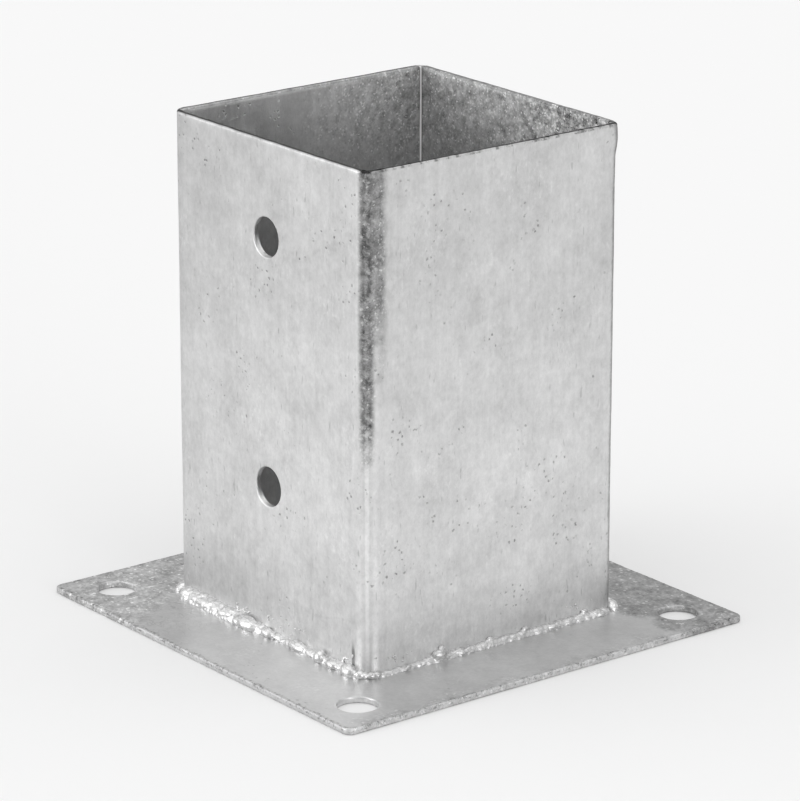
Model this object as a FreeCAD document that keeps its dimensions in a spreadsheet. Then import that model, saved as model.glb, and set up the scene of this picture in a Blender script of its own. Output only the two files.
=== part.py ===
import FreeCAD, Part
import math
import os

import Sketcher

# Bolt-down base for a square timber post: a folded steel sleeve, welded up its one open corner
# and around its foot to a flat square plate, the whole hot-dip galvanised.
# Millimetres. The origin is the centre of the plate's underside and +Z is up. The sleeve's bolt
# holes are in its front (-Y) and back (+Y) faces, and its welded corner is the +X, +Y one.

doc = FreeCAD.newDocument("timber_post_base")


# ---------------------------------------------------------------- sizes

driving_sizes = [
    ("plate_side", 150, "side of the square base plate"),
    ("plate_thick", 2, "thickness of the base plate"),
    ("plate_corner_radius", 2.5, "rounding of the plate's four corners"),
    ("anchor_hole_spacing", 122, "between the centres of neighbouring anchor holes"),
    ("anchor_hole_bore", 12, "anchor holes, for 10 mm anchors or coach screws"),
    ("drain_bore", 12, "drain hole in the middle of the plate, under the post"),
    ("sleeve_inside", 91, "inside width of the sleeve, for a 90 mm post"),
    ("sheet_thick", 2, "sheet that the sleeve is folded from"),
    ("bend_inner_radius", 3, "inside radius of the three folds"),
    ("sleeve_length", 152, "height of the sleeve above the plate"),
    ("post_hole_bore", 12, "holes for the bolts through the post"),
    ("post_hole_below_rim", 29, "from the rim down to the upper post holes"),
    ("post_hole_spacing", 76.5, "between the upper and lower post holes"),
    ("edge_softening", 0.4, "bevel that stands for the zinc's rounding of the cut edges"),
    ("seam_root_gap", 0.4, "gap between the sheet's two ends, filled by the seam weld"),
    ("seam_end_proud", 0.6, "how far the last of the seam weld stands out near the rim"),
    ("seam_end_length", 6, "height of that last swelling"),
    ("front_weld_leg", 3.4, "leg of the foot weld in front, which is the fattest"),
    ("right_weld_leg", 2.4, "leg of the foot weld on the right"),
    ("back_weld_leg", 3, "leg of the foot weld at the back"),
    ("left_weld_leg", 3, "leg of the foot weld on the left"),
    ("weld_ripple_pitch", 4, "from one ripple of a foot weld to the next"),
    ("ripple_start_share", 0.8, "how slim a ripple starts, as a share of how fat it ends"),
    ("weld_root_depth", 0.3, "how far a foot weld's middle line lies inside the sheet's face"),
]

sizes = doc.addObject("Spreadsheet::Sheet", "sizes")
for row, (alias, value, meaning) in enumerate(driving_sizes, start=1):
    sizes.set("A%d" % row, meaning)
    sizes.set("B%d" % row, str(value))
    sizes.setAlias("B%d" % row, alias)
doc.recompute()

# Places that more than one piece works to.
half_inside = "sizes.sleeve_inside / 2"
half_outside = "(sizes.sleeve_inside / 2 + sizes.sheet_thick)"
sheet_end = "(sizes.sleeve_inside / 2 - sizes.seam_root_gap)"
bend_outer_radius = "(sizes.bend_inner_radius + sizes.sheet_thick)"
quarter_turn = FreeCAD.Rotation(FreeCAD.Vector(0, 0, 1), 90)


def value_of(formula):
    return float(sizes.evalExpression(formula))


# ---------------------------------------------------------------- sketches and features


def new_sketch(body, name, role):
    """A sketch on one of the three planes of the body's own origin."""
    sketch = body.newObject("Sketcher::SketchObject", name)
    plane = next(feature for feature in body.Origin.OriginFeatures if feature.Role == role)
    sketch.AttachmentSupport = [(plane, "")]
    sketch.MapMode = "FlatFace"
    return sketch


def drive(sketch, kind, place, formula):
    """Add a dimension to a sketch, bound to its formula."""
    index = sketch.addConstraint(Sketcher.Constraint(kind, *place, value_of(formula)))
    sketch.setExpression("Constraints[%d]" % index, formula)


def add_circle(sketch, across, up, bore):
    """A circle with its centre and its diameter given by formulas; 0 puts the centre on an axis."""
    centre = FreeCAD.Vector(value_of(across), value_of(up), 0)
    upright = FreeCAD.Vector(0, 0, 1)
    circle = sketch.addGeometry(Part.Circle(centre, upright, value_of(bore) / 2), False)
    for kind, formula, axis_line in (("DistanceX", across, -2), ("DistanceY", up, -1)):
        if formula == "0":
            sketch.addConstraint(Sketcher.Constraint("PointOnObject", circle, 3, axis_line))
        else:
            drive(sketch, kind, (-1, 1, circle, 3), formula)
    drive(sketch, "Diameter", (circle,), bore)


def pad_up(body, name, sketch, length):
    pad = body.newObject("PartDesign::Pad", name)
    pad.Profile = sketch
    pad.setExpression("Length", length)
    return pad


def bore_both_ways(body, name, sketch):
    """Cut a sketch's holes through everything, to both sides of the sketch."""
    pocket = body.newObject("PartDesign::Pocket", name)
    pocket.Profile = sketch
    pocket.Type = "ThroughAll"
    pocket.Midplane = True
    return pocket


def dress_edges(body, kind, name, base, wanted, amount):
    """Fillet or chamfer those edges of a feature that the test picks."""
    dressing = body.newObject("PartDesign::" + kind, name)
    picked = ["Edge%d" % number for number, edge in enumerate(base.Shape.Edges, 1) if wanted(edge)]
    dressing.Base = (base, picked)
    dressing.setExpression({"Fillet": "Radius", "Chamfer": "Size"}[kind], amount)
    doc.recompute()
    return dressing


# ---------------------------------------------------------------- base plate
# Square plate cut from 2 mm sheet. Its four corners are a little rounded, and it has an anchor
# hole in each corner and a drain hole under the end of the post.


def build_base_plate():
    body = doc.addObject("PartDesign::Body", "base_plate")
    outline = new_sketch(body, "plate_outline", "XY_Plane")
    half = value_of("sizes.plate_side / 2")
    corners = [(-half, -half), (half, -half), (half, half), (-half, half)]
    for number, (x, y) in enumerate(corners):
        next_x, next_y = corners[(number + 1) % 4]
        outline.addGeometry(Part.LineSegment(FreeCAD.Vector(x, y, 0), FreeCAD.Vector(next_x, next_y, 0)))
    for side in range(4):
        outline.addConstraint(Sketcher.Constraint("Coincident", side, 2, (side + 1) % 4, 1))
        outline.addConstraint(Sketcher.Constraint("Horizontal" if side % 2 == 0 else "Vertical", side))
    drive(outline, "DistanceX", (0, 1, 0, 2), "sizes.plate_side")
    drive(outline, "DistanceY", (1, 1, 1, 2), "sizes.plate_side")
    outline.addConstraint(Sketcher.Constraint("Symmetric", 0, 1, 1, 2, -1, 1))
    plate = pad_up(body, "plate", outline, "sizes.plate_thick")
    doc.recompute()

    def stands_upright(edge):
        return abs(edge.Vertexes[0].Z - edge.Vertexes[-1].Z) > value_of("sizes.plate_thick / 2")

    rounded = dress_edges(
        body, "Fillet", "rounded_corners", plate, stands_upright, "sizes.plate_corner_radius"
    )
    body.Tip = dress_edges(
        body, "Chamfer", "soft_edges", rounded, lambda edge: not stands_upright(edge), "sizes.edge_softening"
    )

    anchor_place = new_sketch(body, "anchor_hole_place", "XY_Plane")
    add_circle(
        anchor_place, "sizes.anchor_hole_spacing / 2", "sizes.anchor_hole_spacing / 2",
        "sizes.anchor_hole_bore",
    )
    anchor_hole = bore_both_ways(body, "anchor_hole", anchor_place)
    body.Tip = anchor_hole
    doc.recompute()
    anchor_holes = body.newObject("PartDesign::PolarPattern", "anchor_holes")
    anchor_holes.Originals = [anchor_hole]
    anchor_holes.Axis = (anchor_place, ["N_Axis"])
    anchor_holes.Angle = 360
    body.Tip = anchor_holes
    anchor_holes.Occurrences = 4

    drain_place = new_sketch(body, "drain_place", "XY_Plane")
    add_circle(drain_place, "0", "0", "sizes.drain_bore")
    body.Tip = bore_both_ways(body, "drain_hole", drain_place)
    return body


# ---------------------------------------------------------------- post sleeve
# One strip of 2 mm sheet, folded three times into a square tube. Its two ends meet at the
# fourth corner, which is the back left one, and stand a root gap short of each other, for the
# seam weld. The post's bolt holes are punched through the front and back faces, one above the
# other.


def fold_strip(sketch):
    """The strip's section: along its outside from one end to the other, and back along its inside."""
    folds = ((1, -1), (-1, -1), (-1, 1))
    end = value_of(sheet_end)
    outside, inside = [], []
    skins = (
        (outside, value_of(half_outside), value_of(bend_outer_radius)),
        (inside, value_of(half_inside), value_of("sizes.bend_inner_radius")),
    )
    for skin, half, radius in skins:
        start = FreeCAD.Vector(half, end, 0)
        for turn, (side_x, side_y) in enumerate(folds):
            centre = FreeCAD.Vector(side_x * (half - radius), side_y * (half - radius), 0)
            leave = math.radians(-90 * turn)
            before = centre + FreeCAD.Vector(math.cos(leave), math.sin(leave), 0) * radius
            reach = leave - math.pi / 2
            after = centre + FreeCAD.Vector(math.cos(reach), math.sin(reach), 0) * radius
            bend = Part.ArcOfCircle(Part.Circle(centre, FreeCAD.Vector(0, 0, 1), radius), reach, leave)
            skin.append(sketch.addGeometry(Part.LineSegment(start, before)))
            skin.append(sketch.addGeometry(bend))
            start = after
        skin.append(sketch.addGeometry(Part.LineSegment(start, FreeCAD.Vector(end, half, 0))))

    for skin, half, radius in ((outside, half_outside, bend_outer_radius),
                               (inside, half_inside, "sizes.bend_inner_radius")):
        for bend in skin[1::2]:
            # An arc runs anticlockwise, so the line before it joins its end, and the next its start.
            sketch.addConstraint(Sketcher.Constraint("Tangent", bend - 1, 2, bend, 2))
            sketch.addConstraint(Sketcher.Constraint("Tangent", bend, 1, bend + 1, 1))
            drive(sketch, "Radius", (bend,), radius)
        right, front, left, back = skin[0::2]
        drive(sketch, "DistanceX", (-1, 1, right, 1), half)
        drive(sketch, "DistanceY", (front, 1, -1, 1), half)
        drive(sketch, "DistanceX", (left, 1, -1, 1), half)
        drive(sketch, "DistanceY", (-1, 1, back, 1), half)
        for upright, level in ((right, front), (left, back)):
            sketch.addConstraint(Sketcher.Constraint("Vertical", upright))
            sketch.addConstraint(Sketcher.Constraint("Horizontal", level))
        drive(sketch, "DistanceY", (-1, 1, right, 1), sheet_end)
        drive(sketch, "DistanceX", (-1, 1, back, 2), sheet_end)

    for outer_line, inner_line, point in ((outside[0], inside[0], 1), (outside[-1], inside[-1], 2)):
        ends = [sketch.getPoint(line, point) for line in (outer_line, inner_line)]
        cut = sketch.addGeometry(Part.LineSegment(*ends))
        sketch.addConstraint(Sketcher.Constraint("Coincident", cut, 1, outer_line, point))
        sketch.addConstraint(Sketcher.Constraint("Coincident", cut, 2, inner_line, point))


def build_post_sleeve():
    body = doc.addObject("PartDesign::Body", "post_sleeve")
    body.setExpression("Placement.Base.z", "sizes.plate_thick")
    section = new_sketch(body, "folded_section", "XY_Plane")
    fold_strip(section)
    # The section is drawn open at the +X, +Y corner, and turned so that it opens at the back left.
    section.AttachmentOffset = FreeCAD.Placement(FreeCAD.Vector(), quarter_turn)
    folded_sheet = pad_up(body, "folded_sheet", section, "sizes.sleeve_length")
    doc.recompute()

    def along_rim(edge):
        at_rim = all(abs(vertex.Z - value_of("sizes.sleeve_length")) < 1e-6 for vertex in edge.Vertexes)
        return at_rim and edge.Length > value_of("sizes.sheet_thick * 1.01")

    body.Tip = dress_edges(body, "Chamfer", "soft_rim", folded_sheet, along_rim, "sizes.edge_softening")

    hole_places = new_sketch(body, "post_hole_places", "XZ_Plane")
    upper_hole = "(sizes.sleeve_length - sizes.post_hole_below_rim)"
    lower_hole = upper_hole + " - sizes.post_hole_spacing"
    for height in (upper_hole, lower_hole):
        add_circle(hole_places, "0", height, "sizes.post_hole_bore")
    body.Tip = bore_both_ways(body, "post_holes", hole_places)
    return body


# ---------------------------------------------------------------- corner seam weld
# Weld laid up the open corner: it fills the notch between the sheet's two ends and rounds the
# corner off from face to face. Its last puddle, near the rim, stands a little proud.


def build_corner_seam_weld():
    body = doc.addObject("PartDesign::Body", "corner_seam_weld")
    body.Placement.Rotation = quarter_turn
    body.setExpression("Placement.Base.x", "-" + sheet_end)
    body.setExpression("Placement.Base.y", sheet_end)
    body.setExpression("Placement.Base.z", "sizes.plate_thick")
    section = new_sketch(body, "weld_section", "XZ_Plane")

    root = "sizes.seam_root_gap"
    face = "(sizes.sheet_thick + sizes.seam_root_gap)"
    swell_foot = "(sizes.sleeve_length - sizes.seam_end_length)"
    swell_height = value_of("sizes.sleeve_length - sizes.seam_end_length / 2")
    proud = value_of(face + " + sizes.seam_end_proud")
    foot_in = FreeCAD.Vector(value_of(root), 0, 0)
    foot_out = FreeCAD.Vector(value_of(face), 0, 0)
    swell_start = FreeCAD.Vector(value_of(face), value_of(swell_foot), 0)
    rim_out = FreeCAD.Vector(value_of(face), value_of("sizes.sleeve_length"), 0)
    rim_in = FreeCAD.Vector(value_of(root), value_of("sizes.sleeve_length"), 0)

    bottom = section.addGeometry(Part.LineSegment(foot_in, foot_out))
    outer = section.addGeometry(Part.LineSegment(foot_out, swell_start))
    bulge = Part.Arc(swell_start, FreeCAD.Vector(proud, swell_height, 0), rim_out)
    swelling = section.addGeometry(bulge)
    top = section.addGeometry(Part.LineSegment(rim_out, rim_in))
    inner = section.addGeometry(Part.LineSegment(rim_in, foot_in))
    for one, one_end, other, other_end in (
        (bottom, 2, outer, 1), (outer, 2, swelling, 1), (swelling, 2, top, 1),
        (top, 2, inner, 1), (inner, 2, bottom, 1),
    ):
        section.addConstraint(Sketcher.Constraint("Coincident", one, one_end, other, other_end))
    for level in (bottom, top):
        section.addConstraint(Sketcher.Constraint("Horizontal", level))
    for upright in (outer, inner):
        section.addConstraint(Sketcher.Constraint("Vertical", upright))
    section.addConstraint(Sketcher.Constraint("PointOnObject", bottom, 1, -1))
    section.addConstraint(Sketcher.Constraint("Vertical", swelling, 1, swelling, 2))
    drive(section, "DistanceX", (-1, 1, bottom, 1), root)
    drive(section, "DistanceX", (-1, 1, bottom, 2), face)
    drive(section, "DistanceY", (outer, 1, outer, 2), swell_foot)
    drive(section, "DistanceY", (inner, 2, inner, 1), "sizes.sleeve_length")
    # An arc this high over a chord this long has the radius (chord^2 / 4 + height^2) / (2 height).
    drive(
        section, "Radius", (swelling,),
        "(sizes.seam_end_length ^ 2 / 4 + sizes.seam_end_proud ^ 2) / (2 * sizes.seam_end_proud)",
    )

    turned = body.newObject("PartDesign::Revolution", "weld_round_the_corner")
    turned.Profile = section
    turned.ReferenceAxis = (section, ["V_Axis"])
    turned.Angle = 90
    body.Tip = turned
    return body


# ---------------------------------------------------------------- foot welds
# A fillet weld along the foot of each side, laid in one run. Its ripples overlap like scales: each
# starts slimmer than the one before it ends, and swells towards its own end. A round start, a
# round end and a fat blob are balls. The run is centred where the sleeve's face meets the plate,
# a root's depth inside it, and what would lie inside the sleeve or the plate is cut away, so that
# the weld seats on the plate, on the sleeve's face and on the folds at its ends.


def build_foot_weld(name, quarter_turns, leg, taper, blob_at, core):
    """A run along one side, from its left end to its right as one faces it.

    The weld shrinks by the share taper on the way. Where blob_at is a share of the run's length,
    there is a fat blob there.
    """
    unevenness = 0.07
    unevenness_step = 2.4
    blob_swell = 1.3
    room_at_corner = 1.6
    first = "(%s - %g * %s)" % (half_outside, room_at_corner, leg)
    last = "(%s - %g * %s)" % (half_outside, room_at_corner * (1 - taper), leg)
    run_length = "(%s + %s)" % (first, last)
    ripple_count = round(value_of(run_length) / value_of("sizes.weld_ripple_pitch"))

    laid = []
    for number in range(ripple_count):
        start = "%s * %d / %d - %s" % (run_length, number, ripple_count, first)
        shrunk = 1 - taper * number / ripple_count
        swell = shrunk * (1 + unevenness * math.sin(unevenness_step * number))
        ripple = doc.addObject("Part::Cone", "%s_ripple_%d" % (name, number + 1))
        ripple.Placement.Rotation = FreeCAD.Rotation(FreeCAD.Vector(0, 1, 0), 90)
        ripple.setExpression("Radius1", "%s * %.3f * sizes.ripple_start_share" % (leg, swell))
        ripple.setExpression("Radius2", "%s * %.3f" % (leg, swell))
        ripple.setExpression("Height", "%s / %d" % (run_length, ripple_count))
        ripple.setExpression("Placement.Base.x", start)
        laid.append(ripple)

    balls = [("start", 0, 1), ("end", 1, 1 - taper)]
    if blob_at is not None:
        balls.append(("blob", blob_at, (1 - taper * blob_at) * blob_swell))
    for ball_name, along, swell in balls:
        ball = doc.addObject("Part::Sphere", "%s_%s" % (name, ball_name))
        ball.Placement.Rotation = quarter_turn
        ball.setExpression("Radius", "%s * %.3f" % (leg, swell))
        ball.setExpression("Placement.Base.x", "%s * %g - %s" % (run_length, along, first))
        laid.append(ball)

    for shape in laid:
        shape.setExpression("Placement.Base.y", "sizes.weld_root_depth - " + half_outside)
        shape.setExpression("Placement.Base.z", "sizes.plate_thick")
    run = doc.addObject("Part::MultiFuse", name + "_run")
    run.Shapes = laid
    turn = FreeCAD.Rotation(FreeCAD.Vector(0, 0, 1), 90 * quarter_turns)
    run.Placement = FreeCAD.Placement(FreeCAD.Vector(), turn)
    weld = doc.addObject("Part::Cut", name)
    weld.Base = run
    weld.Tool = core
    weld.Refine = True
    return weld


def build_foot_weld_core(sleeve, seam_weld):
    """All that a foot weld stops at: the sleeve, its seam weld, the room inside, and the plate."""
    room = doc.addObject("Part::Box", "post_room")
    ground = doc.addObject("Part::Box", "below_plate_top")
    boxes = (
        (room, "sizes.sleeve_inside", "sizes.plate_thick"),
        (ground, "sizes.plate_side", "sizes.plate_thick - sizes.plate_side"),
    )
    for box, width, floor in boxes:
        for side in ("Length", "Width", "Height"):
            box.setExpression(side, width)
        for axis in ("x", "y"):
            box.setExpression("Placement.Base." + axis, "-%s / 2" % width)
        box.setExpression("Placement.Base.z", floor)
    core = doc.addObject("Part::MultiFuse", "foot_weld_core")
    core.Shapes = [sleeve, seam_weld, room, ground]
    return core


# ---------------------------------------------------------------- assembly

base_plate = build_base_plate()
post_sleeve = build_post_sleeve()
corner_seam_weld = build_corner_seam_weld()
pieces = [base_plate, post_sleeve, corner_seam_weld]

foot_weld_core = build_foot_weld_core(post_sleeve, corner_seam_weld)
foot_weld_runs = (
    # side, quarter turns from the front, share the bead shrinks by, where its blob is
    ("front", 0, 0.25, 0.45),
    ("right", 1, 0, 0.25),
    ("back", 2, 0.1, None),
    ("left", 3, 0.1, None),
)
for side, quarter_turns, taper, blob_at in foot_weld_runs:
    leg = "sizes.%s_weld_leg" % side
    weld = build_foot_weld("foot_weld_" + side, quarter_turns, leg, taper, blob_at, foot_weld_core)
    pieces.append(weld)
doc.recompute()

faults = [part.Name for part in doc.Objects if {"Invalid", "Error"} & set(part.State)]
faults += [piece.Label for piece in pieces if piece.Shape.isNull() or not piece.Shape.isValid()]
if faults:
    raise RuntimeError("these did not build: " + ", ".join(faults))

os.makedirs("parts", exist_ok=True)
for piece in pieces:
    piece.Shape.exportStep("parts/%s.step" % piece.Label)
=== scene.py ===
import functools
import math
import random

import bmesh
import bpy
from mathutils import Matrix, Vector, noise


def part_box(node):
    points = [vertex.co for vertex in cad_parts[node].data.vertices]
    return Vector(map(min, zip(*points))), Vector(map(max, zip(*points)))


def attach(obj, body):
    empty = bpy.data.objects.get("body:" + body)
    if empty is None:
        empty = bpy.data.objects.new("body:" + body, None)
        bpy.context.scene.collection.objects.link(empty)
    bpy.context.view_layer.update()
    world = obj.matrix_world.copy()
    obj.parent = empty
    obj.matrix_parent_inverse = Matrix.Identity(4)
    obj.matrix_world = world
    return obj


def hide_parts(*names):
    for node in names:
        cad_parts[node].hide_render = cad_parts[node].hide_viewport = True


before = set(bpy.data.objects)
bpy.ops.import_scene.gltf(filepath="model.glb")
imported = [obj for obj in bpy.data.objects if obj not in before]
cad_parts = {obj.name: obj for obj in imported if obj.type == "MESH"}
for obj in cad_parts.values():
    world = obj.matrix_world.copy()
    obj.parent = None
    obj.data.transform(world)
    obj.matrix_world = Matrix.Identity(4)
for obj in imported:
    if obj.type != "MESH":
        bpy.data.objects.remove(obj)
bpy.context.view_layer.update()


# ------------------------------------------------------------------ table, light tent and camera
# The part stands on a pale table inside a white light tent, which is all the light there is. It is
# brightest at two soft panels, in front and at the right, and brighter overhead and at the left than
# elsewhere, and dimmer between the two panels and behind at the left.

mm = 0.001


def feed(tree, node, inputs):
    """Fill a node's inputs. One given as a socket is linked to it, and anything else is its value."""
    for name, value in inputs.items():
        if isinstance(value, bpy.types.NodeSocket):
            tree.links.new(value, node.inputs[name])
        else:
            node.inputs[name].default_value = value


def put(tree, kind, inputs=None, **settings):
    """Add a shader node with these settings and inputs."""
    node = tree.nodes.new("ShaderNode" + kind)
    for name, value in settings.items():
        setattr(node, name, value)
    feed(tree, node, inputs or {})
    return node


def work_out(tree, operation, *terms):
    """What one Math node makes of the terms."""
    return put(tree, "Math", dict(enumerate(terms)), operation=operation).outputs[0]


def combine(tree, operation, *terms):
    """The product, sum or largest of any number of terms."""
    return functools.reduce(lambda result, term: work_out(tree, operation, result, term), terms)


def fade(tree, value, start, end, first=0.0, last=1.0):
    """From first to last, smoothly, while the value goes from start to end."""
    span = {"Value": value, "From Min": start, "From Max": end, "To Min": first, "To Max": last}
    return put(tree, "MapRange", span, interpolation_type="SMOOTHSTEP").outputs["Result"]


scene = bpy.context.scene
scene.view_settings.view_transform = "Standard"

paper_white = (0.94, 0.94, 0.94, 1)
table_white = (0.90, 0.90, 0.90, 1)
tent_walls = 0.73
tent_overhead = 0.60
# Each panel of the tent: its direction, how far round it reaches and where it is even, in degrees,
# and how much brighter than the wall it is.
tent_panels = [
    ((-0.341, -0.937, 0.070), 26, 6, 3.10),
    ((0.998, 0.0, 0.070), 24, 6, 2.70),
    ((-0.752, -0.585, 0.304), 32, 8, 0.36),
    ((0.787, -0.616, 0.050), 34, 10, -0.30),
    ((-0.752, 0.585, 0.304), 48, 12, -0.16),
]

light_tent = bpy.data.worlds.new("light_tent")
scene.world = light_tent
light_tent.use_nodes = True
tent = light_tent.node_tree
tent.nodes.clear()
direction = put(tent, "TexCoord").outputs["Generated"]
upward = put(tent, "SeparateXYZ", {0: direction}).outputs["Z"]
tent_light = fade(tent, upward, 0.55, 0.95, tent_walls, tent_walls + tent_overhead)
for towards, reach, even, extra in tent_panels:
    nearness = put(
        tent, "VectorMath", {0: direction, 1: towards}, operation="DOT_PRODUCT"
    ).outputs["Value"]
    start, end = (math.cos(math.radians(angle)) for angle in (reach, even))
    panel = fade(tent, nearness, start, end, 0.0, extra)
    tent_light = work_out(tent, "ADD", tent_light, panel)
to_camera = put(tent, "LightPath").outputs["Is Camera Ray"]
tent_wall = put(tent, "Background", {"Color": (1, 1, 1, 1), "Strength": tent_light})
clear_white = put(tent, "Background", {"Color": paper_white, "Strength": 1.0})
seen = put(tent, "MixShader", {0: to_camera, 1: tent_wall.outputs[0], 2: clear_white.outputs[0]})
put(tent, "OutputWorld", {"Surface": seen.outputs[0]})

# The table top.
table_size = 4.0
table_mesh = bpy.data.meshes.new("table")
top = bmesh.new()
bmesh.ops.create_grid(top, x_segments=1, y_segments=1, size=table_size)
top.to_mesh(table_mesh)
top.free()
table = bpy.data.objects.new("table", table_mesh)
scene.collection.objects.link(table)
table_finish = bpy.data.materials.new("pale_table")
table_finish.use_nodes = True
feed(
    table_finish.node_tree, table_finish.node_tree.nodes["Principled BSDF"],
    {"Base Color": table_white, "Roughness": 0.9, "Specular IOR Level": 0.0},
)
table_mesh.materials.append(table_finish)


camera_azimuth = math.radians(52.09)
camera_elevation = math.radians(17.71)
camera_distance = 1295.2 * mm
camera_aim = Vector((3.86, -1.17, 67.18)) * mm
camera_lens = bpy.data.cameras.new("camera")
camera_lens.sensor_width = 36
camera_lens.lens = 194.3
camera = bpy.data.objects.new("camera", camera_lens)
camera_back = Vector((
    math.sin(camera_azimuth) * math.cos(camera_elevation),
    -math.cos(camera_azimuth) * math.cos(camera_elevation),
    math.sin(camera_elevation),
))
camera.location = camera_aim + camera_back * camera_distance
camera.rotation_euler = (-camera_back).to_track_quat("-Z", "Y").to_euler()
scene.collection.objects.link(camera)
scene.camera = camera


# ------------------------------------------------------------------ hot-dip zinc
# Every piece wears the same skin of zinc, frozen as it drained: cloudy grey, with faint streaks,
# tide lines, pits and a fine grain. Where it froze slowly it is granular and dark, with painted
# glints: bright crystals painted into the colour as highlights.


def new_group(name, inputs, outputs):
    """A node group whose inputs and outputs are all plain numbers, but for the place on the piece."""
    group = bpy.data.node_groups.new(name, "ShaderNodeTree")
    group.interface.new_socket("Place", in_out="INPUT", socket_type="NodeSocketVector")
    for label in inputs:
        group.interface.new_socket(label, in_out="INPUT", socket_type="NodeSocketFloat")
    for label in outputs:
        group.interface.new_socket(label, in_out="OUTPUT", socket_type="NodeSocketFloat")
    given = group.nodes.new("NodeGroupInput").outputs
    result = group.nodes.new("NodeGroupOutput").inputs
    return group, given, result


def grain_of(tree, place, scale, detail=3.0, roughness=0.5, distortion=0.0):
    """Noise about zero, with scale lumps to each unit of place: a metre, unless place is stretched."""
    lumps = put(
        tree, "TexNoise",
        {"Vector": place, "Scale": scale, "Detail": detail, "Roughness": roughness,
         "Distortion": distortion},
    )
    return work_out(tree, "SUBTRACT", lumps.outputs["Fac"], 0.5)


def stretched(tree, place, across, up):
    """The place, scaled by one number across the piece and by another up it."""
    return put(
        tree, "VectorMath", {0: place, 1: (across, across, up)}, operation="MULTIPLY"
    ).outputs[0]


zinc_skin, given, result = new_group(
    "zinc_skin",
    ["Clouds", "Streaks", "Tide lines", "Pits", "Ticks", "Flecks", "Ripples", "Grain"],
    ["Shade", "Height", "Dullness"],
)
place = given["Place"]
clouds = work_out(
    zinc_skin, "ADD",
    work_out(zinc_skin, "MULTIPLY", grain_of(zinc_skin, place, 45, 2.0), 0.7),
    work_out(zinc_skin, "MULTIPLY", grain_of(zinc_skin, place, 190, 5.0, 0.72), 1.1),
)
streaks = grain_of(zinc_skin, stretched(zinc_skin, place, 620, 26), 1.0, 3.0, 0.6)
wandering = grain_of(zinc_skin, place, 34, 3.0, 0.45, 0.9)
on_line = fade(zinc_skin, work_out(zinc_skin, "ABSOLUTE", wandering), 0.0, 0.032, 1.0, 0.0)
line_here = fade(zinc_skin, grain_of(zinc_skin, place, 26, 1.0), -0.02, 0.16)
tide_lines = work_out(zinc_skin, "MULTIPLY", on_line, line_here)
cells = put(zinc_skin, "TexVoronoi", {"Vector": place, "Scale": 480.0, "Randomness": 1.0})
ragged = grain_of(zinc_skin, place, 1300, 3.0, 0.7)
from_pit = work_out(zinc_skin, "MULTIPLY_ADD", ragged, 0.9, cells.outputs["Distance"])
pit_cluster = fade(zinc_skin, grain_of(zinc_skin, place, 75, 2.0), 0.05, 0.16)
pits = work_out(
    zinc_skin, "MULTIPLY", fade(zinc_skin, from_pit, 0.06, 0.24, 1.0, 0.0), pit_cluster
)
ticks = fade(
    zinc_skin, grain_of(zinc_skin, stretched(zinc_skin, place, 900, 260), 1.0, 1.0), 0.19, 0.30
)
flecks = work_out(
    zinc_skin, "MULTIPLY",
    fade(zinc_skin, grain_of(zinc_skin, stretched(zinc_skin, place, 950, 600), 1.0, 2.0), 0.02, 0.20),
    fade(zinc_skin, grain_of(zinc_skin, place, 60, 2.0), 0.03, 0.15),
)
curling = work_out(zinc_skin, "ABSOLUTE", grain_of(zinc_skin, place, 150, 2.0, 0.5, 1.6))
ripples = fade(zinc_skin, curling, 0.0, 0.05, 1.0, 0.0)
fine = grain_of(zinc_skin, stretched(zinc_skin, place, 1000, 620), 1.0, 3.0, 0.65)
shade = 1.0
for mark, label in ((clouds, "Clouds"), (streaks, "Streaks"), (flecks, "Flecks"), (fine, "Grain")):
    shade = work_out(zinc_skin, "MULTIPLY_ADD", mark, given[label], shade)
for mark, label in (
    (tide_lines, "Tide lines"), (pits, "Pits"), (ticks, "Ticks"), (ripples, "Ripples"),
):
    shade = work_out(zinc_skin, "SUBTRACT", shade, work_out(zinc_skin, "MULTIPLY", mark, given[label]))
zinc_skin.links.new(shade, result["Shade"])
height = 0.0
ripple_rise = work_out(zinc_skin, "MULTIPLY", given["Ripples"], -0.5)
for mark, rise in (
    (clouds, 0.05), (streaks, 0.02), (fine, 0.010), (pits, -0.08), (tide_lines, 0.02),
    (ripples, ripple_rise),
):
    height = work_out(zinc_skin, "MULTIPLY_ADD", mark, rise, height)
zinc_skin.links.new(height, result["Height"])
zinc_skin.links.new(work_out(zinc_skin, "ADD", clouds, streaks), result["Dullness"])

granular_zinc, given, result = new_group("granular_zinc", ["Coarseness"], ["Shade", "Height"])
place = put(
    granular_zinc, "VectorMath", {0: given["Place"], "Scale": given["Coarseness"]}, operation="SCALE"
).outputs[0]
crystals = put(granular_zinc, "TexVoronoi", {"Vector": place, "Scale": 1.0, "Randomness": 1.0})
sparkle = put(granular_zinc, "SeparateColor", {"Color": crystals.outputs["Color"]}).outputs[0]
crust = grain_of(granular_zinc, place, 0.17, 5.0, 0.72)
# Each crystal has its own tone. The brightest ones also get painted glints, highlights painted into the
# colour.
painted_glints = fade(granular_zinc, sparkle, 0.90, 1.0, 0.0, 0.60)
shade = work_out(granular_zinc, "MULTIPLY_ADD", sparkle, 0.30, 0.66)
shade = work_out(granular_zinc, "ADD", shade, painted_glints)
shade = work_out(granular_zinc, "MULTIPLY_ADD", crust, 2.4, shade)
granular_zinc.links.new(work_out(granular_zinc, "MAXIMUM", shade, 0.15), result["Shade"])
granular_zinc.links.new(
    work_out(granular_zinc, "MULTIPLY_ADD", crystals.outputs["Distance"], -0.18, crust), result["Height"]
)


# What the clouds and the granular zinc add to the roughness.
clouds_dull = 0.10
crystals_dull = 0.20


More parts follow.
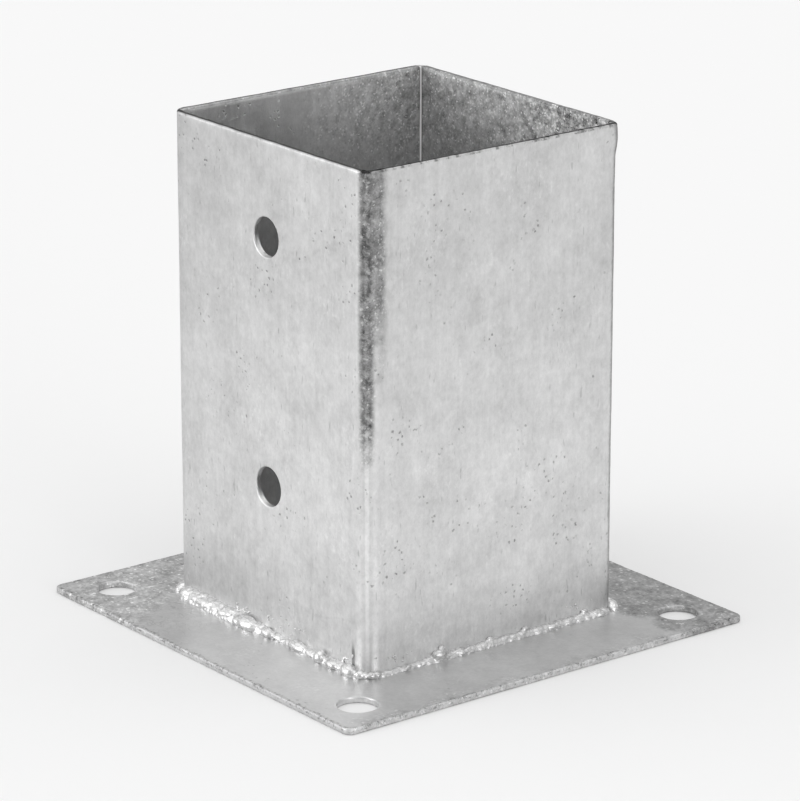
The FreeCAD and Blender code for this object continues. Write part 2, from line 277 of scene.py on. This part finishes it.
def dip_in_zinc(name, colour, roughness, marks, rough_places, coarseness=1400.0, grit=0.09):
    """A material of zinc.

    rough_places gives three sockets or numbers: how granular the zinc froze at a place, a factor for
    how dark it is there, which carries painted shade and painted light where a piece has them, and how
    rippled. The shader itself and its plain numbers stay here, and the groups give what varies.
    """
    material = bpy.data.materials.new(name)
    material.use_nodes = True
    tree = material.node_tree
    zinc = tree.nodes["Principled BSDF"]
    where = put(tree, "TexCoord").outputs["Object"]
    mask, dimming, rippled = rough_places(tree, where)
    skin = put(tree, "Group", {"Place": where, "Ripples": rippled, **marks}, node_tree=zinc_skin)
    crystals = put(tree, "Group", {"Place": where, "Coarseness": coarseness}, node_tree=granular_zinc)

    def between(smooth, granular):
        step = work_out(tree, "SUBTRACT", granular, smooth)
        return work_out(tree, "MULTIPLY_ADD", step, mask, smooth)

    # The colour takes painted shade and light through the dark factor, and painted glints from the
    # granular zinc.
    tone_and_painted_light = work_out(tree, "MULTIPLY", between(skin.outputs["Shade"], crystals.outputs["Shade"]), dimming)
    base = put(tree, "VectorMath", {0: colour, "Scale": tone_and_painted_light}, operation="SCALE")
    # The dark factor also tints the reflection, so painted shade and light reach the sheen as well.
    glancing = put(tree, "VectorMath", {0: (1, 1, 1), "Scale": dimming}, operation="SCALE")
    smooth_roughness = work_out(tree, "MULTIPLY_ADD", skin.outputs["Dullness"], clouds_dull, roughness)
    gritty = work_out(tree, "MULTIPLY", crystals.outputs["Height"], grit)
    relief = between(skin.outputs["Height"], gritty)
    bump = put(tree, "Bump", {"Height": relief, "Distance": mm, "Strength": 1.0})
    feed(tree, zinc, {
        "Base Color": base.outputs[0],
        "Specular Tint": glancing.outputs[0],
        "Metallic": 1.0,
        "Roughness": work_out(tree, "MULTIPLY_ADD", mask, crystals_dull, smooth_roughness),
        "Normal": bump.outputs["Normal"],
    })
    return material


# ------------------------------------------------------------------ base plate
# The square plate that bolts down: 2 mm steel sheet, sheared and punched with an anchor hole in
# each corner and a drain hole in the middle. Its cut edges are rounded by the zinc.

plate_low, plate_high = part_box("base_plate")
plate_side = plate_high.x - plate_low.x
plate_thick = plate_high.z - plate_low.z
plate_corner = 2.5 * mm
plate_mesh_pitch = 1.25 * mm
anchor_place = 61 * mm
hole_radius = 6 * mm
hole_patch = 8.75 * mm
edge_rounding = 0.45 * mm


def punch_hole(sheet, centre, facing, patch):
    """Punch a round hole in a sheet of square netting, and draw the netting in to its edge.

    The faces of a square patch are lifted out, and the border that they leave is extruded and
    rounded to the hole's edge.
    """
    centre = Vector(centre)
    facing = Vector(facing)

    def in_patch(face):
        reach = face.calc_center_median() - centre
        return abs(reach.dot(facing)) < mm and max(abs(step) for step in reach) < patch

    lifted = [face for face in sheet.faces if in_patch(face)]
    border = {edge for face in lifted for edge in face.edges}
    bmesh.ops.delete(sheet, geom=lifted, context="FACES")
    border = [edge for edge in border if edge.is_valid and edge.is_boundary]
    drawn_in = bmesh.ops.extrude_edge_only(sheet, edges=border)["geom"]
    rim = {part for part in drawn_in if isinstance(part, bmesh.types.BMVert)}
    for vert in rim:
        vert.co = centre + (vert.co - centre).normalized() * hole_radius
    spokes = [edge for vert in rim for edge in vert.link_edges if edge.other_vert(vert) not in rim]
    bmesh.ops.subdivide_edges(sheet, edges=spokes, cuts=3)


def thicken_sheet(sheet, thickness):
    """Give the netting the sheet's thickness, on the side away from its face, and soften its edges."""
    bmesh.ops.recalc_face_normals(sheet, faces=sheet.faces)
    bmesh.ops.solidify(sheet, geom=sheet.faces[:], thickness=thickness)
    sheet.normal_update()
    cut_edges = [edge for edge in sheet.edges if edge.calc_face_angle(0) > math.radians(60)]
    bmesh.ops.bevel(
        sheet, geom=cut_edges, offset=edge_rounding, offset_type="OFFSET", segments=3,
        profile=0.5, affect="EDGES", material=-1,
    )


def let_zinc_run(sheet, swell, lumps_per_metre, seed):
    """Let the surface rise and sink a little, as the zinc does when it drains and freezes."""
    roughness, spread, octaves = 0.9, 2.0, 3
    sheet.normal_update()
    offset = Vector((seed, 2 * seed, 3 * seed))
    moves = []
    for vert in sheet.verts:
        depth = noise.fractal(vert.co * lumps_per_metre + offset, roughness, spread, octaves)
        moves.append(vert.normal * (depth * swell))
    for vert, move in zip(sheet.verts, moves):
        vert.co += move


def finish_piece(shape, name, material, slot, *nodes):
    """Turn a made shape into the piece that stands for its CAD nodes."""
    mesh = bpy.data.meshes.new(name)
    shape.to_mesh(mesh)
    shape.free()
    mesh.shade_smooth()
    mesh.materials.append(material)
    piece = bpy.data.objects.new(name, mesh)
    scene.collection.objects.link(piece)
    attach(piece, "root")
    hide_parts(*nodes)
    return piece


plate = bmesh.new()
cells_a_side = round(plate_side / plate_mesh_pitch)
bmesh.ops.create_grid(
    plate, x_segments=cells_a_side, y_segments=cells_a_side, size=plate_side / 2,
    matrix=Matrix.Translation((0, 0, plate_high.z)),
)
for x in (-anchor_place, anchor_place):
    for y in (-anchor_place, anchor_place):
        punch_hole(plate, (x, y, plate_high.z), (0, 0, 1), hole_patch)
punch_hole(plate, (0, 0, plate_high.z), (0, 0, 1), hole_patch)
corner_start = plate_side / 2 - plate_corner
for vert in plate.verts:
    reach = Vector((abs(vert.co.x) - corner_start, abs(vert.co.y) - corner_start))
    if min(reach) > 0:
        rounded = reach.normalized() * max(reach)
        vert.co.x = math.copysign(corner_start + rounded.x, vert.co.x)
        vert.co.y = math.copysign(corner_start + rounded.y, vert.co.y)
thicken_sheet(plate, plate_thick)
let_zinc_run(plate, swell=0.07 * mm, lumps_per_metre=90, seed=3.0)
for vert in plate.verts:
    vert.co.x = max(plate_low.x, min(plate_high.x, vert.co.x))
    vert.co.y = max(plate_low.y, min(plate_high.y, vert.co.y))
    vert.co.z = max(plate_low.z, vert.co.z)


def plate_rough_places(tree, where):
    """The plate froze granular at its left, its back and its right, and dark specks follow its edge."""
    axes = put(tree, "SeparateXYZ", {0: where}).outputs
    wobble = work_out(tree, "MULTIPLY", grain_of(tree, where, 70, 4.0, 0.6), 24 * mm)
    # The left zone's border runs slanting out from the sleeve's front left corner.
    in_front = work_out(tree, "MINIMUM", work_out(tree, "ADD", axes["Y"], 47.5 * mm), 0.0)
    slanting = work_out(tree, "MULTIPLY_ADD", in_front, 0.6, axes["X"])
    slanting, backward, rightward = (
        work_out(tree, "ADD", place, wobble) for place in (slanting, axes["Y"], axes["X"])
    )
    left = fade(tree, slanting, -43 * mm, -49 * mm)
    back = fade(tree, backward, 46 * mm, 51 * mm)
    right = fade(tree, rightward, 67 * mm, 76 * mm, 0.0, 0.6)
    granular = work_out(tree, "MULTIPLY", combine(tree, "MAXIMUM", left, back, right), 0.72)
    near_left = fade(tree, slanting, -20 * mm, -44 * mm, 0.0, 0.14)
    # The specks thin out down the cut edge, below the top's arris.
    across = work_out(tree, "MAXIMUM", *[work_out(tree, "ABSOLUTE", axes[axis]) for axis in ("X", "Y")])
    ragged = work_out(tree, "MULTIPLY", grain_of(tree, where, 260, 4.0, 0.7), 2.6 * mm)
    arris = fade(tree, work_out(tree, "ADD", across, ragged), 73.5 * mm, 74.3 * mm)
    speckled = fade(tree, grain_of(tree, where, 900, 4.0, 0.75), -0.02, 0.14, 0.0, 0.55)
    on_top = fade(tree, axes["Z"], 0.7 * mm, 1.2 * mm, 0.2, 1.0)
    edge_line = combine(tree, "MULTIPLY", arris, on_top, speckled)
    dimming = work_out(tree, "SUBTRACT", work_out(tree, "MULTIPLY_ADD", back, -0.22, 1.0), edge_line)
    return granular, dimming, near_left


zinc_grey = (0.66, 0.66, 0.66)
plate_zinc = dip_in_zinc(
    "plate_zinc", zinc_grey, 0.34,
    {"Clouds": 0.34, "Tide lines": 0.05, "Pits": 0.25, "Flecks": 0.12, "Grain": 0.20},
    plate_rough_places,
)
finish_piece(plate, "plate", plate_zinc, "galvanised_steel", "base_plate")


# ------------------------------------------------------------------ post sleeve
# One strip of 2 mm sheet, folded round three corners, with its two ends meeting at the back left
# one. The bolt holes are punched in the front and back faces before it is folded.

sleeve_low, sleeve_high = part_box("post_sleeve")
sleeve_half = sleeve_high.x
sleeve_thick = 2 * mm
strip_end = 45.1 * mm
fold_radius = 5 * mm
fold_steps = 8
face_pitch = 1.7 * mm
post_hole_heights = (125 * mm, 48.5 * mm)
rim_wave = 0.16 * mm
rim_depth = 3 * mm
drip_place = Vector((46.6, 45.6, 150.0)) * mm
drip_outward = Vector((0.75, 0.66, 0))
drip_reach = 3.4 * mm
drip_size = 0.7 * mm
drip_flattening = Vector((1, 1, 0.6))

strip = bmesh.new()
rows = round((sleeve_high.z - sleeve_low.z) / face_pitch)
lead = [strip.verts.new((-strip_end, sleeve_half, sleeve_low.z))]
row_step = Vector((0, 0, (sleeve_high.z - sleeve_low.z) / rows))
bmesh.ops.spin(
    strip, geom=lead, cent=(0, 0, 0), axis=(0, 0, 1), dvec=row_step, angle=0, steps=rows,
    use_duplicate=False,
)
lead = strip.edges[:]


def lay_out(strip, lead, **turn):
    """Carry the strip's leading edge onward, and give back where it has come to."""
    last = bmesh.ops.spin(strip, geom=lead, use_duplicate=False, **turn)["geom_last"]
    return [part for part in last if isinstance(part, bmesh.types.BMEdge)]


fold_at = sleeve_half - fold_radius
heading = Vector((1, 0, 0))
run = strip_end + fold_at
for fold in range(4):
    steps = round(run / face_pitch)
    lead = lay_out(
        strip, lead, cent=(0, 0, 0), axis=(0, 0, 1), dvec=heading * (run / steps), angle=0, steps=steps
    )
    if fold == 3:
        break
    inward = Matrix.Rotation(math.radians(-90), 3, "Z") @ heading
    centre = (heading - inward) * fold_at
    lead = lay_out(
        strip, lead, cent=centre, axis=(0, 0, 1), dvec=(0, 0, 0), angle=math.radians(-90),
        steps=fold_steps,
    )
    heading = inward
    run = 2 * fold_at if fold < 2 else fold_at + strip_end
bmesh.ops.remove_doubles(strip, verts=strip.verts, dist=0.01 * mm)
for side in (-1, 1):
    for z in post_hole_heights:
        punch_hole(strip, (0, side * sleeve_half, z), (0, side, 0), hole_patch)
thicken_sheet(strip, sleeve_thick)
let_zinc_run(strip, swell=0.07 * mm, lumps_per_metre=55, seed=8.0)
for vert in strip.verts:
    near_rim = max(0.0, (vert.co.z - sleeve_high.z) / rim_depth + 1)
    wave = noise.fractal(vert.co * Vector((160, 160, 40)), 0.8, 2.0, 3) if near_rim else 0.0
    vert.co.z -= near_rim * rim_wave * (0.5 + 0.5 * wave)
    # A drip of zinc froze on the back right fold, just under the rim.
    from_drip = (vert.co - drip_place) * drip_flattening
    vert.co += drip_outward * (drip_size * max(0.0, 1 - (from_drip.length / drip_reach) ** 2))


# Upright lines that the marks lie along, in mm.
front_fold = (45.9, -46.0)
front_band = (47.4, -44.0)
right_fold = (46.0, 46.6)
left_fold = (-47.4, -44.8)
# Where a painted line of shade rises from the foot weld.
foot_shade_line = (41.2, -47.5)


def wavering(tree, place, grain, amount):
    """A coordinate or a gap that wavers by this many mm of the grain."""
    return work_out(tree, "MULTIPLY_ADD", grain, amount * mm, place)


def marks_on_folds(tree, where, axes):
    """The front fold has a wide band at its top and a narrow, mottled one that goes on down: granular
    zinc that is darkened partly as zinc and partly as painted shade, a darker reflection painted in. The
    right and left folds have thin bands of painted shade, and a short painted line of shade rises from
    the foot weld."""
    flat_place = stretched(tree, where, 1, 0)
    wobble = grain_of(tree, where, 150, 4.0, 0.65)

    def beside(line, near, far, amount=1.4):
        """How close a place is to an upright line: 1 as near as this, and 0 as far as that."""
        gap = put(
            tree, "VectorMath", {0: flat_place, 1: (line[0] * mm, line[1] * mm, 0)}, operation="DISTANCE"
        ).outputs["Value"]
        return fade(tree, wavering(tree, gap, wobble, amount), near * mm, far * mm, 1.0, 0.0)

    low_end = fade(tree, wavering(tree, axes["Z"], wobble, 36), 60 * mm, 86 * mm)
    down_fold = work_out(tree, "MULTIPLY", beside(front_fold, 0.8, 3.2), low_end)
    top_band = fade(tree, wavering(tree, axes["Z"], wobble, 50), 84 * mm, 122 * mm)
    round_fold = work_out(tree, "MULTIPLY", beside(front_band, 2.0, 4.8, 3.0), top_band)
    on_front_fold = work_out(tree, "MAXIMUM", round_fold, down_fold)
    mottled = fade(tree, grain_of(tree, where, 300, 5.0, 0.75), -0.05, 0.09, 0.15, 1.0)
    fold_mottles = work_out(tree, "MULTIPLY", down_fold, mottled)
    # A painted line of shade at the foot of the front fold, just above the weld.
    above_foot = fade(tree, wavering(tree, axes["Z"], wobble, 8), 9 * mm, 14 * mm, 1.0, 0.0)
    shade_at_foot = work_out(tree, "MULTIPLY", beside(foot_shade_line, 0.3, 1.0, 1.0), above_foot)
    return on_front_fold, fold_mottles, beside(right_fold, 1.6, 3.2), beside(left_fold, 1.0, 2.4), shade_at_foot


def marks_on_walls(tree, where, axes):
    """Which places are inside, how granular they are, and which are outside toward the left. The
    inside froze granular toward the back and the rim, most coarsely in the right of the back wall."""
    across = [work_out(tree, "ABSOLUTE", axes[axis]) for axis in ("X", "Y")]
    from_axis = work_out(tree, "MAXIMUM", *across)
    inside = fade(tree, from_axis, 46.2 * mm, 46.6 * mm, 1.0, 0.0)
    running_down = grain_of(tree, stretched(tree, where, 260, 60), 1.0, 4.0, 0.65)
    up_wall = wavering(tree, axes["Z"], running_down, 30)
    upper = fade(tree, up_wall, 110 * mm, 148 * mm, 0.3, 1.0)
    coarse = work_out(
        tree, "MULTIPLY", fade(tree, axes["X"], -8 * mm, 30 * mm),
        fade(tree, up_wall, 118 * mm, 136 * mm, 0.0, 0.6),
    )
    near_back = fade(tree, wavering(tree, axes["Y"], running_down, 60), -16 * mm, 44 * mm)
    on_walls = combine(tree, "MULTIPLY", inside, near_back, work_out(tree, "ADD", upper, coarse))
    outside = work_out(tree, "SUBTRACT", 1.0, inside)
    left_side = work_out(tree, "MULTIPLY", fade(tree, axes["X"], -47 * mm, 16 * mm, 1.0, 0.0), outside)
    return inside, on_walls, left_side


def marks_on_rim(tree, where, axes):
    """The rim has painted shade lines along its inner edge in front and its outer edge at the left, and a
    ragged one at the right, a granular back darkened as painted shade, and a broken painted highlight
    along the front's outer edge."""
    leftward, forward = (work_out(tree, "MULTIPLY", axes[axis], -1.0) for axis in ("X", "Y"))
    front_right = work_out(tree, "MAXIMUM", axes["X"], forward)
    back_left = work_out(tree, "MAXIMUM", axes["Y"], leftward)
    at_rim = fade(tree, axes["Z"], 153.1 * mm, 153.5 * mm)
    # The dark lines are painted shade along the rim's edges.
    inner_line = work_out(
        tree, "MULTIPLY", fade(tree, front_right, 45.2 * mm, 45.5 * mm),
        fade(tree, front_right, 46.7 * mm, 47.0 * mm, 1.0, 0.0),
    )
    outer_line = fade(tree, leftward, 46.3 * mm, 46.8 * mm)
    rim_shade_line = work_out(tree, "MULTIPLY", work_out(tree, "MAXIMUM", inner_line, outer_line), at_rim)
    ragged = fade(tree, grain_of(tree, where, 300, 5.0, 0.75), -0.02, 0.10)
    ragged_shade_line = combine(tree, "MULTIPLY", at_rim, fade(tree, axes["X"], 45.4 * mm, 45.8 * mm), ragged)
    back_rim = work_out(tree, "MULTIPLY", at_rim, fade(tree, back_left, 45.2 * mm, 45.6 * mm))
    # The bright line is a painted highlight, broken up by noise.
    broken = fade(tree, grain_of(tree, where, 420, 3.0, 0.6), -0.12, 0.06, 0.25, 1.0)
    painted_rim_highlight = combine(tree, "MULTIPLY", at_rim, fade(tree, forward, 46.9 * mm, 47.2 * mm), broken)
    return rim_shade_line, ragged_shade_line, back_rim, painted_rim_highlight


def sleeve_rough_places(tree, where):
    """The sleeve froze granular down the front fold's upper half and inside near the back. It is painted
    brighter inside and lower down, as painted light, and painted shade darkens its folds and draws thin
    dark lines along its rim."""
    axes = put(tree, "SeparateXYZ", {0: where}).outputs
    on_front_fold, fold_mottles, on_right_fold, on_left_fold, shade_at_foot = marks_on_folds(tree, where, axes)
    inside, on_walls, left_side = marks_on_walls(tree, where, axes)
    rim_shade_line, ragged_shade_line, back_rim, painted_rim_highlight = marks_on_rim(tree, where, axes)
    granular = combine(
        tree, "MAXIMUM", on_front_fold, on_walls,
        work_out(tree, "MULTIPLY", on_right_fold, 0.5), work_out(tree, "MULTIPLY", back_rim, 0.7),
    )
    # Painted light and shade: lighter low down, darker toward the rim, and lighter inside.
    tone_and_painted_light = fade(tree, axes["Z"], 20 * mm, 150 * mm, 1.06, 0.91)
    tone_and_painted_light = work_out(tree, "MULTIPLY_ADD", inside, 0.24, tone_and_painted_light)
    # Painted shade darkens the right and left folds, the rim lines and the line at the foot, and part of
    # the front fold's granular band. The bright rim line is a painted highlight. The outside is also
    # darker toward the left.
    for mark, darkening in (
        (on_front_fold, 0.42), (fold_mottles, 0.58), (on_right_fold, 0.34), (on_left_fold, 0.16),
        (left_side, 0.09), (rim_shade_line, 0.72), (ragged_shade_line, 0.60), (back_rim, 0.34),
        (painted_rim_highlight, -0.20), (shade_at_foot, 0.55),
    ):
        tone_and_painted_light = work_out(tree, "MULTIPLY", tone_and_painted_light, work_out(tree, "MULTIPLY_ADD", mark, -darkening, 1.0))
    return work_out(tree, "MULTIPLY", granular, 0.9), tone_and_painted_light, 0.0


sleeve_zinc = dip_in_zinc(
    "sleeve_zinc", zinc_grey, 0.37,
    {"Clouds": 0.46, "Streaks": 0.16, "Tide lines": 0.05, "Pits": 0.5, "Ticks": 0.22, "Flecks": 0.10,
     "Grain": 0.30},
    sleeve_rough_places, coarseness=1800.0,
)
finish_piece(strip, "sleeve", sleeve_zinc, "galvanised_steel", "post_sleeve")


# ------------------------------------------------------------------ seam weld
# The weld up the sleeve's open corner, at the back left. It fills the notch between the strip's
# two ends, is nearly flush with both faces, and ends in a little swelling at the rim.

seam_low, seam_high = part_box("corner_seam_weld")
seam_radius = 2.35 * mm
seam_end_swell = 0.55 * mm
swell_below_rim = 3 * mm
swell_half_length = 4 * mm
seam_below_rim = 0.25 * mm
seam_into_plate = 1.0 * mm
seam_back = 45.36 * mm
puddle_pitch = 1.6 * mm
puddle_half_length = 1.7 * mm
seam_voxel = 0.3 * mm


def drop_lump(heap, place, size, turn=None):
    """Add one rounded lump of weld metal, of that half-length, half-width and half-height."""
    stretch = Matrix.Diagonal((*size, 1))
    turned = turn.to_matrix().to_4x4() if turn else Matrix()
    bmesh.ops.create_icosphere(
        heap, subdivisions=2, radius=1, matrix=Matrix.Translation(place) @ turned @ stretch
    )


def melt_together(heap, voxel, smoothing=0):
    """Run a heap of lumps together into one closed skin, and smooth it that many times."""
    mesh = bpy.data.meshes.new("heap")
    heap.to_mesh(mesh)
    heap.free()
    lumps = bpy.data.objects.new("heap", mesh)
    scene.collection.objects.link(lumps)
    remesh = lumps.modifiers.new("melt", "REMESH")
    remesh.mode = "VOXEL"
    remesh.voxel_size = voxel
    evaluated = lumps.evaluated_get(bpy.context.evaluated_depsgraph_get())
    melted = bpy.data.meshes.new_from_object(evaluated)
    weld = bmesh.new()
    weld.from_mesh(melted)
    bpy.data.objects.remove(lumps)
    bpy.data.meshes.remove(mesh)
    bpy.data.meshes.remove(melted)
    for _ in range(smoothing):
        bmesh.ops.smooth_vert(
            weld, verts=weld.verts, factor=0.5, use_axis_x=True, use_axis_y=True, use_axis_z=True
        )
    return weld


def trim(weld, place, outward):
    """Cut off what lies beyond a plane, and close the cut."""
    cut = bmesh.ops.bisect_plane(
        weld, geom=weld.verts[:] + weld.edges[:] + weld.faces[:], dist=0.001 * mm,
        plane_co=place, plane_no=outward, clear_outer=True,
    )["geom_cut"]
    edges = [part for part in cut if isinstance(part, bmesh.types.BMEdge)]
    bmesh.ops.holes_fill(weld, edges=edges, sides=0)


def pitted_places(tree, where):
    """How pitted the weld is."""
    return fade(tree, grain_of(tree, where, 260, 3.0, 0.6), 0.10, 0.2, 0.0, 0.45)


def seam_rough_places(tree, where):
    """The seam is pitted, with painted shade down one side of the notch that it leaves inside the sleeve.
    """
    axes = put(tree, "SeparateXYZ", {0: where}).outputs
    # Painted shade down one side of the notch.
    notch_shade = work_out(
        tree, "MULTIPLY", fade(tree, axes["X"], -45.9 * mm, -45.6 * mm),
        fade(tree, axes["Y"], 45.38 * mm, 45.46 * mm),
    )
    return pitted_places(tree, where), work_out(tree, "MULTIPLY_ADD", notch_shade, -0.6, 1.0), 0.0


weld_grit = 0.05
dull_marks = {"Clouds": 0.30, "Pits": 0.3, "Flecks": 0.10, "Grain": 0.10}
seam_zinc = dip_in_zinc("seam_zinc", zinc_grey, 0.34, dull_marks, seam_rough_places, grit=weld_grit)

chance = random.Random(11)
heap = bmesh.new()
puddles = round((seam_high.z - seam_low.z) / puddle_pitch)
for puddle in range(puddles + 1):
    z = seam_low.z + (seam_high.z - seam_low.z) * puddle / puddles
    from_swell = abs(z - seam_high.z + swell_below_rim)
    swell = max(0.0, 1 - from_swell / swell_half_length) * seam_end_swell
    radius = seam_radius + swell + chance.uniform(-0.06, 0.08) * mm
    drop_lump(heap, (-strip_end, strip_end, z), (radius, radius, puddle_half_length))
seam = melt_together(heap, seam_voxel)
trim(seam, (0, 0, seam_high.z - seam_below_rim), (0, 0, 1))
trim(seam, (0, 0, seam_low.z - seam_into_plate), (0, 0, -1))
trim(seam, (-seam_back, 0, 0), (1, 0, 0))
trim(seam, (0, seam_back, 0), (0, -1, 0))
let_zinc_run(seam, swell=0.08 * mm, lumps_per_metre=260, seed=4.0)
finish_piece(seam, "seam_weld", seam_zinc, "galvanised_weld", "corner_seam_weld")


# ------------------------------------------------------------------ foot welds
# Four runs of fillet weld round the sleeve's foot, laid by hand. The metal lies in overlapping
# flakes, with fat lumps, thin pitted stretches and spatter, and the zinc has drawn smooth over it.

weld_grey = (0.84, 0.84, 0.84)
bead_voxel = 0.24 * mm
bead_smoothing = 3
into_sheet = 1.7 * mm
into_plate = 1.5 * mm
core_step = 1.5 * mm
core_half_length = 3.4 * mm
core_share = (0.83, 0.88)
flake_share = (0.78, 0.83)
flake_climb = (26, 80)
flake_twist = (-0.5, 0.25)
flake_size = ((1.4, 2.4), (0.55, 0.90), (0.28, 0.42))
spatter_size = (0.36, 0.50)


def weld_rough_places(tree, where):
    """The weld is pitted here and there, with painted shade in the creases between its flakes."""
    flake_place = put(
        tree, "VectorMath", {0: where, 1: (520, 700, 1050)}, operation="MULTIPLY"
    ).outputs[0]
    # Painted shade in the creases between flakes.
    from_crease = put(
        tree, "TexVoronoi", {"Vector": flake_place, "Scale": 1.0}, feature="DISTANCE_TO_EDGE"
    ).outputs["Distance"]
    return pitted_places(tree, where), fade(tree, from_crease, 0.02, 0.14, 0.78, 1.0), 0.0


weld_marks = {"Clouds": 0.10, "Pits": 0.2, "Flecks": 0.05, "Grain": 0.06}
weld_zinc = dip_in_zinc("weld_zinc", weld_grey, 0.35, weld_marks, weld_rough_places, grit=weld_grit)
dull_weld_zinc = dip_in_zinc(
    "dull_weld_zinc", zinc_grey, 0.36, dull_marks, weld_rough_places, grit=weld_grit
)


def lay_bead(heap, start, end, leg, flakes, chance):
    """A stretch of bead from start to end along the run, with that many flakes to the centimetre.

    The core's thickness and how far out the flakes lie are shares of the leg.
    """
    steps = max(1, round((end - start) * mm / core_step))
    for step in range(steps + 1):
        x = (start + (end - start) * step / steps) * mm
        thick = leg * mm * chance.uniform(*core_share)
        sag = chance.uniform(-0.15, 0.05) * mm
        drop_lump(heap, (x, sag, 0), (core_half_length, thick, thick))
    for flake in range(round((end - start) * flakes / 10)):
        x = chance.uniform(start, end) * mm
        climb = math.radians(chance.uniform(*flake_climb))
        out = leg * mm * chance.uniform(*flake_share)
        size = [chance.uniform(low, high) * mm for low, high in flake_size]
        turn = Vector((0, math.cos(climb), math.sin(climb))).to_track_quat("Z", "Y")
        twist = Matrix.Rotation(chance.uniform(*flake_twist), 3, "Z").to_quaternion()
        drop_lump(heap, (x, out * math.cos(climb), out * math.sin(climb)), size, turn @ twist)


def add_lumps(heap, lumps):
    """Single lumps: where along the run, how far out and up, and half-length, -width and -height."""
    for x, out, up, length, width, height in lumps:
        drop_lump(heap, Vector((x, out, up)) * mm, (length * mm, width * mm, height * mm))


def spatter(heap, start, end, low, high, count, chance):
    """Beads of spatter on the sleeve's face."""
    for bit in range(count):
        place = Vector((chance.uniform(start, end), 0, chance.uniform(low, high))) * mm
        size = chance.uniform(*spatter_size) * mm
        drop_lump(heap, place, (size, size, size))


# Each run's lengths are in mm. A stretch has its start, end, leg and flakes to the centimetre.
foot_weld_runs = {
    "front": {
        "turns": 0,
        "zinc": weld_zinc,
        "stretches": [
            (-41, -17, 4.1, 24), (-18, -4, 3.1, 12), (-4, 12, 1.9, 3), (10, 23, 2.2, 8),
            (25, 42, 2.5, 12),
        ],
        "lumps": [
            (-9.0, 1.7, 1.2, 5.6, 2.5, 2.4), (-12.5, 1.9, 0.8, 3.0, 2.2, 1.9),
            (0.5, 1.1, 0.9, 2.8, 1.7, 1.6), (15.5, 1.0, 0.9, 4.6, 1.8, 1.8),
            (27.0, 1.3, 1.2, 2.0, 2.1, 2.3), (33.0, 1.5, 0.8, 2.6, 1.8, 1.6),
            (40.5, 1.2, 1.0, 3.2, 2.3, 2.3), (44.6, 0.2, 0.9, 1.6, 1.7, 1.5),
            (45.9, -0.9, 0.6, 1.0, 1.4, 1.1), (46.9, -2.2, 0.9, 0.8, 1.4, 0.8),
            (47.5, -3.7, 1.5, 0.7, 1.4, 0.8),
        ],
        "spatter": [(-17, -9, 3.6, 5.2, 12), (-2, 20, 2.4, 6.5, 12), (36, 41, 2.4, 6.0, 10)],
    },
    "right": {
        "turns": 1,
        "zinc": dull_weld_zinc,
        "stretches": [(-42, -25, 1.8, 1), (-25, -18, 2.3, 3), (-18, 40, 2.3, 3), (38, 42, 2.5, 8)],
        "lumps": [
            (-21.2, 0.8, 2.0, 2.6, 1.7, 1.7), (-19.8, 0.5, 3.6, 1.3, 0.9, 1.0),
            (-1.6, 0.4, 2.3, 1.4, 0.7, 0.8), (12.0, 0.4, 2.4, 1.6, 0.8, 0.7),
            (35.0, 0.3, 2.6, 1.6, 0.7, 0.8), (-44.0, 0.1, 0.8, 1.4, 1.5, 1.3),
            (-45.4, -0.7, 0.8, 1.6, 1.5, 1.2),
        ],
        "spatter": [(28, 40, 3.6, 7.0, 5), (-40, -30, 2.6, 5.5, 8)],
    },
    "back": {
        "turns": 2,
        "zinc": weld_zinc,
        "stretches": [(-45, -6, 2.9, 14), (-8, 18, 3.2, 18), (16, 45, 2.7, 12)],
        "lumps": [(12, 1.0, 1.4, 3.6, 2.2, 2.2), (-31, 0.8, 1.6, 2.0, 1.8, 1.9)],
        "spatter": [(-30, 30, 3.0, 6.5, 12)],
    },
    "left": {
        "turns": 3,
        "zinc": weld_zinc,
        "stretches": [(-45, -20, 3.1, 16), (-22, 30, 2.8, 14), (28, 45, 3.0, 16)],
        "lumps": [(-26, 1.0, 1.4, 3.0, 2.2, 2.3), (36, 0.9, 1.5, 2.4, 2.0, 2.0)],
        "spatter": [(-34, 38, 3.0, 6.5, 12)],
    },
}
for seed, (side, run) in enumerate(foot_weld_runs.items()):
    chance = random.Random(20 + seed)
    heap = bmesh.new()
    for start, end, leg, flakes in run["stretches"]:
        lay_bead(heap, start, end, leg, flakes, chance)
    add_lumps(heap, run["lumps"])
    for start, end, low, high, count in run["spatter"]:
        spatter(heap, start, end, low, high, count, chance)
    bead = melt_together(heap, bead_voxel, bead_smoothing)
    trim(bead, (0, -into_sheet, 0), (0, -1, 0))
    trim(bead, (0, 0, -into_plate), (0, 0, -1))
    let_zinc_run(bead, swell=0.11 * mm, lumps_per_metre=480, seed=6.0 + seed)
    # The run is laid along +X and out along +Y, so it's mirrored to face forward before it turns.
    bmesh.ops.scale(bead, verts=bead.verts, vec=(1, -1, 1))
    bmesh.ops.reverse_faces(bead, faces=bead.faces)
    bmesh.ops.translate(bead, verts=bead.verts, vec=(0, -sleeve_half, plate_high.z))
    quarter_turns = Matrix.Rotation(math.radians(90 * run["turns"]), 3, "Z")
    bmesh.ops.rotate(bead, verts=bead.verts, cent=(0, 0, 0), matrix=quarter_turns)
    finish_piece(bead, "weld_" + side, run["zinc"], "galvanised_weld", "foot_weld_" + side)
